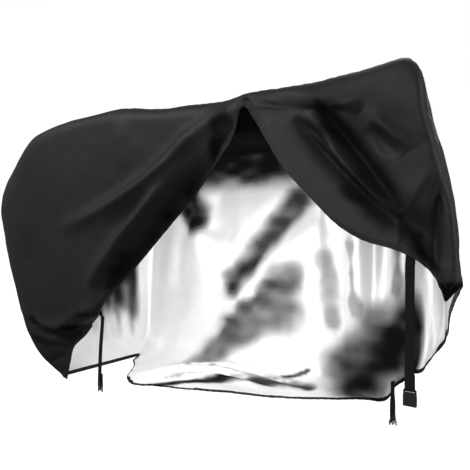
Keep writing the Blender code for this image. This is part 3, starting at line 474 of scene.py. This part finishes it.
def lift_of(rows, across, places):
    """Folds and unevenness at these places, each side's folds fading toward its seams."""
    x, y, height = places.T
    near = 1 - smooth(across, NEAR_EDGE, NEAR_SEAM)
    far = smooth(across, FAR_SEAM, WALL)
    middle = 1 - smooth(np.abs(across - (ACROSS + FAR_EDGE) / 2), *TOP_HALF)
    rear, front = 1 - smooth(rows, *REAR_ROWS), smooth(rows, *FRONT_ROWS)
    lift = near * folded(NEAR_FOLDS + NEAR_CREASES, x, height)
    lift += far * folded(FAR_FOLDS + FAR_CREASES, x, drop_of(rows, across))
    lift += middle * (1 - rear - front) * folded(TOP_FOLDS, x, y)
    lift += middle * rear * folded(REAR_FOLDS, y, height)
    lift += middle * front * folded(FRONT_FOLDS, y, height)
    ends = smooth(rows, 0, END_ROWS[0]) * (1 - smooth(rows, LAST - END_ROWS[1], LAST))
    lift = (lift + UNEVEN * wander(places, UNEVEN_SPAN)) * (END_FOLDS + (1 - END_FOLDS) * ends)
    return lift + CRUMPLE * wander(places, CRUMPLE_SPAN, CRUMPLE_SEED)


def lengths(places):
    """The length along a line of places, at each of them."""
    return np.concatenate([[0], np.cumsum(np.linalg.norm(np.diff(places, axis=0), axis=1))])


def run_of(grid, axis):
    """Lengths along each line of a grid, from its start."""
    steps = np.linalg.norm(np.diff(grid, axis=axis), axis=2)
    return np.insert(np.cumsum(steps, axis=axis), 0, 0, axis=axis)


def inner_shade(rows, across, places):
    """How dark the inner face looks: the painted shade, shadows and dark reflections on the far side, and the painted
    deep shade inside the gusset.
    """
    x, _, height = places.T
    dark = shaded(FAR_SHADES, x, drop_of(rows, across), places) * smooth(across, FAR_SEAM - 0.3, FAR_SEAM)
    dark *= smooth(x, *FAR_SHADE_START)
    gusset = smooth(across, *SHADE_ON) * (1 - smooth(across, *SHADE_OFF))
    top = smooth(rows, *UNDER_TOP_START) * (1 - smooth(rows, *UNDER_TOP_END))
    front = smooth(rows, *FRONT_START) * (1 - smooth(height, *FRONT_HEIGHTS))
    stripes = smooth(height + STRIPE_REACH * wander(places * STRIPE_STRETCH, STRIPE_SPAN), *REAR_HEIGHTS)
    rear = (1 - smooth(rows, *UNDER_TOP_START)) * stripes
    dark = np.clip(dark + gusset * (top + front + REAR_DARK * rear), 0, 1)
    return 1 - (1 - dark) ** DEEPEN


def outer_shade(across, places, lift, hem):
    """How dark the near side's outer face looks: painted shade in its hollows, its deepest folds, and its lower front
    tip.
    """
    x, _, height = places.T
    side = 1 - smooth(across, NEAR_EDGE, NEAR_SEAM)
    deepest = shaded(NEAR_SHADES, x, height, places) * side * smooth(hem, *HEM_LIT)
    hollows = HOLLOW_DARK * smooth(-lift, *HOLLOW) * side
    tip = smooth(x, *TIP_X) * (1 - smooth(height, *TIP_HEIGHT)) * (across < NEAR_SEAM)
    return np.maximum(np.maximum(hollows, deepest), TIP_DARK * tip)


class Cloth:
    """One panel as grids of places on its outer and inner face over the floor, with its distances from hems and seams
    and the shade painted on each face. `seams` names the sides that are sewn, 0 for its first and -1 for its last."""

    def __init__(self, across, seams):
        self.rows = np.linspace(0, LAST, LAST * STEPS_A_ROW + 1)
        rows, over = (grid.ravel() for grid in np.meshgrid(self.rows, across, indexing="ij"))
        shape = (len(self.rows), len(across))
        smooth_form = base(rows, over)
        lift = lift_of(rows, over, smooth_form).reshape(shape)
        smooth_form = smooth_form.reshape(*shape, 3)
        grid = smooth_form + normals_on(smooth_form, self.rows, across) * lift[..., None]
        down, along = run_of(grid, 1), run_of(grid, 0)
        self.runs = (along, down)
        sides = {0: down, -1: down[:, -1:] - down}
        far = np.full(shape, np.inf)
        self.hem = np.minimum(along, along[-1:] - along)
        for side, distance in sides.items():
            if side in seams:
                far = np.minimum(far, distance)
            else:
                self.hem = np.minimum(self.hem, distance)
        sewn = np.minimum(self.hem, far)
        # Ripples along the stitches: they run along the rows, or along w at the two ends.
        phase = np.where(np.minimum(*sides.values()) < np.minimum(along, along[-1:] - along), along, down)
        beat = np.sin(phase * math.tau / PUCKER_SPAN + PUCKER_SWING * np.sin(phase * PUCKER_DRIFT))
        near_stitch = np.exp(-((sewn / PUCKER_REACH) ** 2))
        grid = grid + normals_on(grid, self.rows, across) * (PUCKER * beat * near_stitch)[..., None]
        for side, inner in ((0, 1), (-1, -2)):
            if side in seams:
                back = grid[:, inner] - grid[:, side]
                grid[:, side] += back / np.linalg.norm(back, axis=1, keepdims=True) * SEAM_GAP / 2
        grid[..., 2] = np.maximum(grid[..., 2], FLOOR_CLEAR)
        self.normal = normals_on(grid, self.rows, across)
        hem_band = 1 - smooth(self.hem / HEM_WIDE, *HEM_STEP)
        dip = sum(deep * np.exp(-(((far - at) / wide) ** 2)) for at, wide, deep in SEAM_DIPS)
        self.outer = grid + self.normal * (hem_band * HEM_THICK / 2 - dip)[..., None]
        self.inner = grid - self.normal * (CLOTH + hem_band * HEM_THICK / 2)[..., None]
        self.outer[..., 2] = np.maximum(self.outer[..., 2], FLOOR_CLEAR)
        self.inner[..., 2] = np.maximum(self.inner[..., 2], FLOOR_CLEAR + CLOTH + hem_band * HEM_THICK)
        self.count = shape
        flat = smooth_form.reshape(-1, 3)
        self.inner_shade = inner_shade(rows, over, flat)
        self.outer_shade = outer_shade(over, flat, lift.ravel(), self.hem.ravel())


def mesh_of(name, places, faces, materials, kinds=None, sharp=None):
    """A new smooth-shaded object. `kinds` gives each face's material, and `sharp` the angle of an edge left sharp."""
    mesh = bpy.data.meshes.new(name)
    mesh.from_pydata([tuple(place) for place in np.asarray(places) - (0, 0, TOP)], [], faces)
    for finish in materials:
        mesh.materials.append(finish)
    if kinds is not None:
        mesh.polygons.foreach_set("material_index", kinds)
    mesh.shade_smooth()
    if sharp is not None:
        mesh.set_sharp_from_angle(angle=math.radians(sharp))
    obj = bpy.data.objects.new(name, mesh)
    bpy.context.scene.collection.objects.link(obj)
    return obj


def panel(name, cloth, materials):
    """The closed sheet of a panel: its outer face, its inner face, and rims between them."""
    long, wide = cloth.count
    count = long * wide
    outer, hem = cloth.outer.reshape(-1, 3), cloth.hem.ravel()
    faces, kinds = [], []
    for i in range(long - 1):
        for j in range(wide - 1):
            a, b, c, d = i * wide + j, (i + 1) * wide + j, (i + 1) * wide + j + 1, i * wide + j + 1
            if np.linalg.norm(outer[a] - outer[c]) > np.linalg.norm(outer[b] - outer[d]):
                a, b, c, d = b, c, d, a
            turned = hem[[a, b, c, d]].mean() < HEM_WIDE
            for tri in ((a, b, c), (a, c, d)):
                faces += [tri, tuple(k + count for k in reversed(tri))]
                kinds += [OUTER, OUTER if turned else INNER]

    def rim(a, b):
        faces.append((a, a + count, b + count, b))
        kinds.append(OUTER)

    for i in range(long - 1):
        rim(i * wide, (i + 1) * wide)
        rim((i + 2) * wide - 1, (i + 1) * wide - 1)
    for j in range(wide - 1):
        rim(j + 1, j)
        rim((long - 1) * wide + j, (long - 1) * wide + j + 1)
    places = np.concatenate([outer, cloth.inner.reshape(-1, 3)])
    made = mesh_of(name, places, faces, materials, kinds, sharp=60)
    # Each place carries the shade painted on it, which both materials read.
    shade = made.data.attributes.new("shade", "FLOAT", "POINT")
    shade.data.foreach_set("value", np.concatenate([cloth.outer_shade, cloth.inner_shade]).astype(np.float32))
    return made


def spread(*stretches):
    """Measures w over the cloth from (start, end, steps) stretches that follow each other."""
    values = [stretches[0][0]]
    for start, end, steps in stretches:
        values += [start + (end - start) * (i + 1) / steps for i in range(steps)]
    return np.array(values, float)


# ---- materials


class Nodes:
    """Builds a material's node tree in a few words."""

    def __init__(self, name):
        self.material = bpy.data.materials.new(name)
        self.material.use_nodes = True
        self.tree = self.material.node_tree
        self.shader = self.tree.nodes["Principled BSDF"]
        self.place = self.tree.nodes.new("ShaderNodeTexCoord").outputs["Object"]

    def add(self, kind, links=None, **values):
        node = self.tree.nodes.new(kind)
        for key, value in values.items():
            if hasattr(node, key):
                setattr(node, key, value)
            else:
                node.inputs[key.replace("_", " ")].default_value = value
        for socket, source in (links or {}).items():
            self.tree.links.new(source, node.inputs[socket])
        return node

    def noise(self, scale, detail, **values):
        node = self.add("ShaderNodeTexNoise", {"Vector": self.place}, Scale=scale, Detail=detail, **values)
        return node.outputs["Fac"]

    # The painted shade that a panel carries on each place.
    def shade(self):
        return self.add("ShaderNodeAttribute", attribute_name="shade").outputs["Fac"]

    def ranged(self, value, start, end):
        return self.add("ShaderNodeMapRange", {"Value": value}, To_Min=start, To_Max=end).outputs["Result"]

    def bump(self, height, strength, distance, normal=None):
        links = {"Height": height} if normal is None else {"Height": height, "Normal": normal}
        return self.add("ShaderNodeBump", links, Strength=strength, Distance=distance).outputs["Normal"]

    def mix(self, share, start, end):
        """The colour between two colours, each given as numbers or as a socket."""
        node = self.add("ShaderNodeMix", data_type="RGBA")
        for socket, value in (("A", start), ("B", end)):
            if isinstance(value, bpy.types.NodeSocket):
                self.tree.links.new(value, node.inputs[socket])
            else:
                node.inputs[socket].default_value = (*value, 1)
        self.tree.links.new(share, node.inputs["Factor"])
        return node.outputs["Result"]

    def set(self, **values):
        for key, value in values.items():
            socket = self.shader.inputs[key.replace("_", " ")]
            if isinstance(value, bpy.types.NodeSocket):
                self.tree.links.new(value, socket)
            else:
                socket.default_value = value


def outer_cloth():
    """Plain-woven synthetic cloth: dark grey with a soft sheen, a slightly uneven dye and a fine weave with slubs, with
    painted shade that makes it darker and matt in its hollows and deepest folds."""
    nodes = Nodes("outer_cloth_look")
    dye = nodes.mix(nodes.noise(3.2, 3.0), (0.009, 0.009, 0.0093), (0.014, 0.014, 0.0144))
    shade = nodes.shade()
    weave = nodes.bump(nodes.noise(520.0, 2.0), 0.1, 0.0004)
    nodes.set(Base_Color=nodes.mix(shade, dye, (0.0022, 0.0022, 0.0022)), Roughness=0.58,
              Specular_IOR_Level=nodes.ranged(shade, 0.1, 0.0),
              Normal=nodes.bump(nodes.noise(90.0, 2.0), 0.06, 0.001, weave))
    return nodes.material


def silver_coating():
    """The coated inner face: silver grey with a dull gloss, dark and matt where shade, shadows and dark reflections are
    painted on it.
    """
    nodes = Nodes("silver_coating_look")
    # a broad uneven tone of the coating, which also stands in for soft painted reflections
    bright = nodes.mix(nodes.noise(2.6, 4.0, Roughness=0.6), (0.62, 0.62, 0.63), (0.98, 0.98, 0.99))
    shade = nodes.shade()
    nodes.set(Base_Color=nodes.mix(shade, bright, (0.006, 0.006, 0.0062)), Metallic=nodes.ranged(shade, 0.2, 0.0),
              Roughness=nodes.ranged(shade, 0.4, 0.95), Specular_IOR_Level=nodes.ranged(shade, 0.12, 0.0),
              Normal=nodes.bump(nodes.noise(420.0, 2.0), 0.08, 0.0004))
    return nodes.material


def thread_look():
    """Sewing thread, a little lighter than the cloth."""
    nodes = Nodes("thread_look")
    grain = nodes.noise(900.0, 2.0)
    nodes.set(Base_Color=nodes.mix(grain, (0.03, 0.03, 0.031), (0.039, 0.039, 0.0403)), Roughness=0.6,
              Specular_IOR_Level=0.12, Normal=nodes.bump(grain, 0.3, 0.0003))
    return nodes.material


def webbing_look():
    """Ribbed webbing: fine ribs across it, warp threads along it, and a slightly uneven dye."""
    nodes = Nodes("webbing_look")
    spots = {"Vector": nodes.add("ShaderNodeUVMap", uv_map="weave").outputs["UV"]}
    ribs = nodes.add("ShaderNodeTexWave", spots, bands_direction="Y", Scale=190.0, Distortion=1.4).outputs["Fac"]
    warp = nodes.add("ShaderNodeTexWave", spots, Scale=120.0, Distortion=0.8).outputs["Fac"]
    nodes.set(Base_Color=nodes.mix(nodes.noise(260.0, 3.0), (0.0045, 0.0045, 0.0047), (0.009, 0.009, 0.0093)),
              Roughness=0.85, Specular_IOR_Level=0.04,
              Normal=nodes.bump(warp, 0.35, 0.0003, nodes.bump(ribs, 0.5, 0.0003)))
    return nodes.material


def plastic_look():
    """Moulded plastic: a fine matt grain, edges rounded by a bevel in the shading, and a faint haze of wear."""
    nodes = Nodes("buckle_look")
    haze = nodes.noise(60.0, 4.0)
    edge = nodes.add("ShaderNodeBevel", samples=4, Radius=0.0007).outputs["Normal"]
    nodes.set(Base_Color=nodes.mix(haze, (0.006, 0.006, 0.0062), (0.012, 0.012, 0.0123)),
              Roughness=nodes.ranged(haze, 0.32, 0.52), Specular_IOR_Level=0.2,
              Normal=nodes.bump(nodes.noise(1400.0, 2.0), 0.25, 0.0002, edge))
    return nodes.material


# ---- the three panels

finishes = (outer_cloth(), silver_coating())
near = Cloth(spread(
    (NEAR_SIDE, 0.03, 3), (0.03, NEAR_EDGE, 72), (NEAR_EDGE, NEAR_SEAM - 0.1, 10), (NEAR_SEAM - 0.1, NEAR_SEAM, 3),
), (-1,))
middle = Cloth(spread(
    (NEAR_SEAM, NEAR_SEAM + 0.08, 3), (NEAR_SEAM + 0.08, ACROSS, 2), (ACROSS, FAR_EDGE, 44), (FAR_EDGE, FAR_SEAM, 5),
), (0, -1))
far = Cloth(spread(
    (FAR_SEAM, FAR_SEAM + 0.1, 4), (FAR_SEAM + 0.1, WALL, 8), (WALL, FOOT, 40), (FOOT, FLOOR, 10),
    (FLOOR, FAR_HEM - 0.04, 20), (FAR_HEM - 0.04, FAR_HEM, 3),
), (0,))
sheets = {
    "near_panel": (panel("near_cloth", near, finishes), (1.95, 1.0), 1.5),
    "gusset": (panel("gusset_cloth", middle, finishes), (1.0, 3.3), 2.75),
    "far_panel": (panel("far_cloth", far, finishes), (1.95, 1.4), 2.3),
}
for node, (piece, flat, area) in sheets.items():
    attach(piece, "root")
    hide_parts(node)


def unit(vector):
    return vector / np.linalg.norm(vector)


# ---- stitches

thread = thread_look()
stitch_places, stitch_faces = [], []


def sew(places, normals):
    """A row of stitches along this line on a surface: each dips into the cloth at its ends and stands up between."""
    gone = lengths(places)
    starts = np.arange(STITCH_PITCH, gone[-1] - STITCH_PITCH, STITCH_PITCH)
    if not len(starts):
        return
    stations = starts[:, None] + np.array([0, 0.5, 1]) * STITCH_LONG
    middle = np.stack([np.interp(stations, gone, axis) for axis in places.T], axis=2)
    up = np.stack([np.interp(stations, gone, axis) for axis in normals.T], axis=2)
    side = np.cross((middle[:, 2] - middle[:, 0])[:, None], up)
    side /= np.linalg.norm(side, axis=2, keepdims=True)
    middle = middle + up * (THREAD * np.array(STITCH_BOW))[None, :, None]
    ring = [middle + side * THREAD, middle + up * THREAD, middle - side * THREAD, middle - up * THREAD]
    corners = np.stack(ring, axis=2).reshape(-1, 3)
    first = sum(len(part) for part in stitch_places)
    stitch_places.append(corners)
    for at in range(first, first + len(corners), 12):  # a stitch has three rings of four corners
        stitch_faces.extend([(at + 3, at + 2, at + 1, at), (at + 8, at + 9, at + 10, at + 11)])
        for part in (at, at + 4):
            stitch_faces.extend((part + k, part + (k + 1) % 4, part + (k + 1) % 4 + 4, part + k + 4) for k in range(4))


def sew_along(cloth, axis, last, far, inside=False):
    """Stitches this far in from one edge of a panel: across it (axis 1) from a side, or along it (axis 0) from an
    end."""
    face = cloth.inner if inside else cloth.outer
    up = -cloth.normal if inside else cloth.normal
    run, ends = cloth.runs[axis], cloth.runs[1 - axis]
    run = run.take([-1], axis=axis) - run if last else run
    if axis == 0:
        face, up, run, ends = (part.swapaxes(0, 1) for part in (face, up, run, ends))
    rest = np.minimum(ends, ends[-1:] - ends)
    places, normals = [], []
    for i in range(len(run)):
        order = slice(None, None, -1) if last else slice(None)
        found = run[i, order]
        if found[-1] > far and np.interp(far, found, rest[i, order]) >= far:
            places.append([np.interp(far, found, value) for value in face[i, order].T])
            normals.append([np.interp(far, found, value) for value in up[i, order].T])
    if len(places) > 2:
        sew(np.array(places), np.array(normals))


for cloth, sides, seams in ((near, (False,), (True,)), (middle, (), (False, True)), (far, (True,), (False,))):
    for inside in (False, True):
        for last in (False, True):
            sew_along(cloth, 0, last, HEM_STITCH, inside)
        for last in sides:
            sew_along(cloth, 1, last, HEM_STITCH, inside)
    for last in seams:
        sew_along(cloth, 1, last, SEAM_STITCH)
    for last in sides:
        sew_along(cloth, 1, last, EDGE_STITCH)


# ---- straps

webbing = webbing_look()


def curve(points, count):
    """Evenly spaced places along a smooth curve through these points."""
    points = np.array(points, float)
    slopes = np.gradient(points, axis=0)
    fine = []
    for i in range(len(points) - 1):
        part = np.linspace(0, 1, CURVE_STEPS, endpoint=i == len(points) - 2)[:, None]
        rise = part * part * (3 - 2 * part)
        fine.append(points[i] * (1 - rise) + points[i + 1] * rise
                    + slopes[i] * part * (1 - part) ** 2 - slopes[i + 1] * part * part * (1 - part))
    fine = np.concatenate(fine)
    gone = lengths(fine)
    return np.stack([np.interp(np.linspace(0, gone[-1], count), gone, axis) for axis in fine.T], axis=1)


def strip(name, places, across, shares):
    """Webbing with rounded edges along these places, its width turning from across[0] to across[1] as the shares
    say, and its length."""
    forward = np.gradient(places, axis=0)
    forward /= np.linalg.norm(forward, axis=1, keepdims=True)
    turning = across[0] * (1 - shares)[:, None] + across[1] * shares[:, None]
    wide = turning - forward * np.sum(turning * forward, axis=1, keepdims=True)
    wide /= np.linalg.norm(wide, axis=1, keepdims=True)
    face = np.cross(forward, wide)
    turns = (np.arange(RING) + 0.5) / RING * math.tau
    out = np.sign(np.cos(turns)) * np.abs(np.cos(turns)) ** SIDE_POWER * STRAP_WIDE / 2
    up = np.sign(np.sin(turns)) * np.abs(np.sin(turns)) ** FACE_POWER * STRAP_THICK / 2
    gone = lengths(places)
    corners = places[:, None] + wide[:, None] * out[None, :, None] + face[:, None] * up[None, :, None]
    faces = [tuple(reversed(range(RING)))]
    for i in range(len(places) - 1):
        for k in range(RING):
            a, b = RING * i + k, RING * i + (k + 1) % RING
            faces.append((a, b, b + RING, a + RING))
    faces.append(tuple(range(RING * (len(places) - 1), RING * len(places))))
    piece = mesh_of(name, corners.reshape(-1, 3), faces, (webbing,), sharp=50)
    layer = piece.data.uv_layers.new(name="weave")
    spots = np.stack([np.tile(out, len(places)), np.repeat(gone, RING)], axis=1)
    for loop in piece.data.loops:
        layer.data[loop.index].uv = spots[loop.vertex_index]
    return piece, gone[-1]


def cloth_clearance(piece, places, out):
    """The least distance from these places to the cloth behind them, against the way `out`."""
    tree = BVHTree.FromObject(piece, bpy.context.evaluated_depsgraph_get())
    reach, found = 0.04, []  # the ray starts this far out, to find cloth on both sides of a place
    for place in places:
        distance = tree.ray_cast(Vector(place + out * reach - (0, 0, TOP)), Vector(-out), 2 * reach)[3]
        if distance is not None:
            found.append(distance - reach)
    return min(found)


def make_strap(row):
    """A strap from its sewn end, down to the bar of its buckle, round that and back, with its stitches."""
    piece = sheets[row.cloth][0]
    top, end, out, bar, along, front = (np.array(value, float) for value in row[2:])
    out, along = unit(out), unit(along)
    down = unit(end - top)
    first, second = unit(np.cross(down, out)), unit(np.cross(along, front))
    first = first * np.sign(first @ second)
    shares = np.linspace(0, 1, TAB_STEPS + 1)[:, None]
    tab = top + (end - top) * shares
    tried = [place + first * side for place in tab for side in STRAP_WIDE * np.array((-0.5, -0.25, 0, 0.25, 0.5))]
    tab = tab + out * (STRAP_OFF + STRAP_THICK / 2 - cloth_clearance(piece, tried, out))
    end = tab[-1]
    low = bar + front * TURN
    if front[2]:
        landing = np.array([*(end + along * LANDING)[:2], STRAP_THICK / 2 + FLOOR_CLEAR])
        fall = curve([end, (end + landing) / 2 - along * SAG, landing, (landing + low) / 2, low], LYING_STEPS)
    else:
        fall = curve([end, end + down * PAST_HEM, (end + low) / 2, low + (0, 0, HANG), low], FALL_STEPS)
    angles = np.linspace(0, math.pi, TURN_STEPS + 1)[1:, None]
    turn = bar + TURN * (np.cos(angles) * front + np.sin(angles) * along)

    def on_tail(share):
        return bar - along * TAIL * share - front * TURN * (1 - TAIL_CLOSES * share)

    places = np.concatenate([tab[:-1], fall, turn, on_tail(shares[1:])])
    made, length = strip("webbing_" + row.name, places, (first, second), smooth(lengths(places), *TWIST))
    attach(made, "root")
    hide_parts("strap_" + row.name)
    # A box of stitches on the sewn end, and two rows through the turned end.
    across = np.linspace(-BOX_HALF, BOX_HALF, 6)[:, None]
    inner = tab[BOX_ROWS[0]:BOX_ROWS[1] + 1]
    for side in (-BOX_HALF, BOX_HALF):
        sew(inner + first * side + out * STRAP_THICK / 2, np.tile(out, (len(inner), 1)))
    for at in BOX_ROWS:
        sew(tab[at] + first * across + out * STRAP_THICK / 2, np.tile(out, (len(across), 1)))
    for at in TAIL_ROWS:
        sew(on_tail(at) + second * across - front * STRAP_THICK / 2, np.tile(-front, (len(across), 1)))


for row in STRAPS:
    make_strap(row)
stitches = mesh_of("stitches", np.concatenate(stitch_places), stitch_faces, (thread,))
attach(stitches, "root")

# The buckles are rigid, so their CAD solids show, with this look.
plastic = plastic_look()
for name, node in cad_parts.items():
    if name.startswith("buckle"):
        for spot in node.material_slots:
            spot.material = plastic

# ---- camera, floor and light

CAMERA = Vector((1.25, -1.575, 0.67 - TOP))
AHEAD, RIGHT, UP = Vector((-0.6, 0.8, 0)), Vector((0.8, 0.6, 0)), Vector((0, 0, 1))
scene = bpy.context.scene
camera = bpy.data.objects.new("camera", bpy.data.cameras.new("camera"))
scene.collection.objects.link(camera)
camera.matrix_world = Matrix.Translation(CAMERA) @ Matrix((RIGHT, UP, -AHEAD)).transposed().to_4x4()
camera.data.sensor_width = 36
camera.data.lens = 38.6
camera.data.shift_y = -0.0128
scene.camera = camera
scene.view_settings.view_transform = "Standard"


def floor_and_backdrop():
    """A plain pale floor that bends up into a backdrop far behind, as seen and not as a light or a reflection."""
    span, back, radius, rise, steps = 12.0, 6.0, 2.0, 7.0, 16
    profile = [(-span, 0.0), (back, 0.0)]
    for angle in np.linspace(0, math.pi / 2, steps + 1)[1:]:
        profile.append((back + radius * math.sin(angle), radius - radius * math.cos(angle)))
    profile.append((back + radius, rise))
    across = RIGHT * span
    places = []
    for ahead, height in profile:
        at = AHEAD * ahead + Vector((0, 0, height))
        places += [at - across, at + across]
    faces = [(2 * i, 2 * i + 1, 2 * i + 3, 2 * i + 2) for i in range(len(profile) - 1)]
    nodes = Nodes("pale_floor")
    nodes.set(Base_Color=(0.25, 0.25, 0.25, 1), Roughness=0.9, Specular_IOR_Level=0.0,
              Emission_Color=(1, 1, 1, 1), Emission_Strength=0.93)
    backdrop = mesh_of("floor", places, faces, (nodes.material,))
    backdrop.visible_glossy = False
    backdrop.visible_diffuse = False


floor_and_backdrop()

# Soft lights, with what they are aimed at, their power in watts and their size.
for name, at, aim, power, size in (
    ("top", (-2.0, -3.1, 1.9), (0.1, -0.5, -0.3), 170, 1.2),
    ("fill", (1.2, -3.6, 0.7), (0.1, -0.4, -0.4), 105, 2.0),
    ("inside", (0.05, -0.3, -0.34), (0.0, 0.45, -0.65), 5.5, 0.45),
    ("rear", (-0.9, 4.4, 1.3), (0.0, 0.3, -0.4), 260, 2.0),
    ("above", (0.1, 1.9, 3.2), (0.0, 0.1, 0.0), 70, 1.6),
    ("front", (4.2, 1.0, 0.6), (0.9, 0.0, -0.4), 110, 1.8),
    ("inside_rear", (-0.42, -0.2, -0.45), (-0.55, 0.45, -0.6), 3.0, 0.4),
):
    data = bpy.data.lights.new(name, "AREA")
    data.energy, data.size = power, size
    light = bpy.data.objects.new(name, data)
    scene.collection.objects.link(light)
    light.location = at
    light.rotation_euler = (Vector(aim) - Vector(at)).to_track_quat("-Z", "Y").to_euler()
    light.visible_camera = False
world = bpy.data.worlds.new("world")
scene.world = world
world.use_nodes = True
world.node_tree.nodes["Background"].inputs["Color"].default_value = (1, 1, 1, 1)
world.node_tree.nodes["Background"].inputs["Strength"].default_value = 0.22
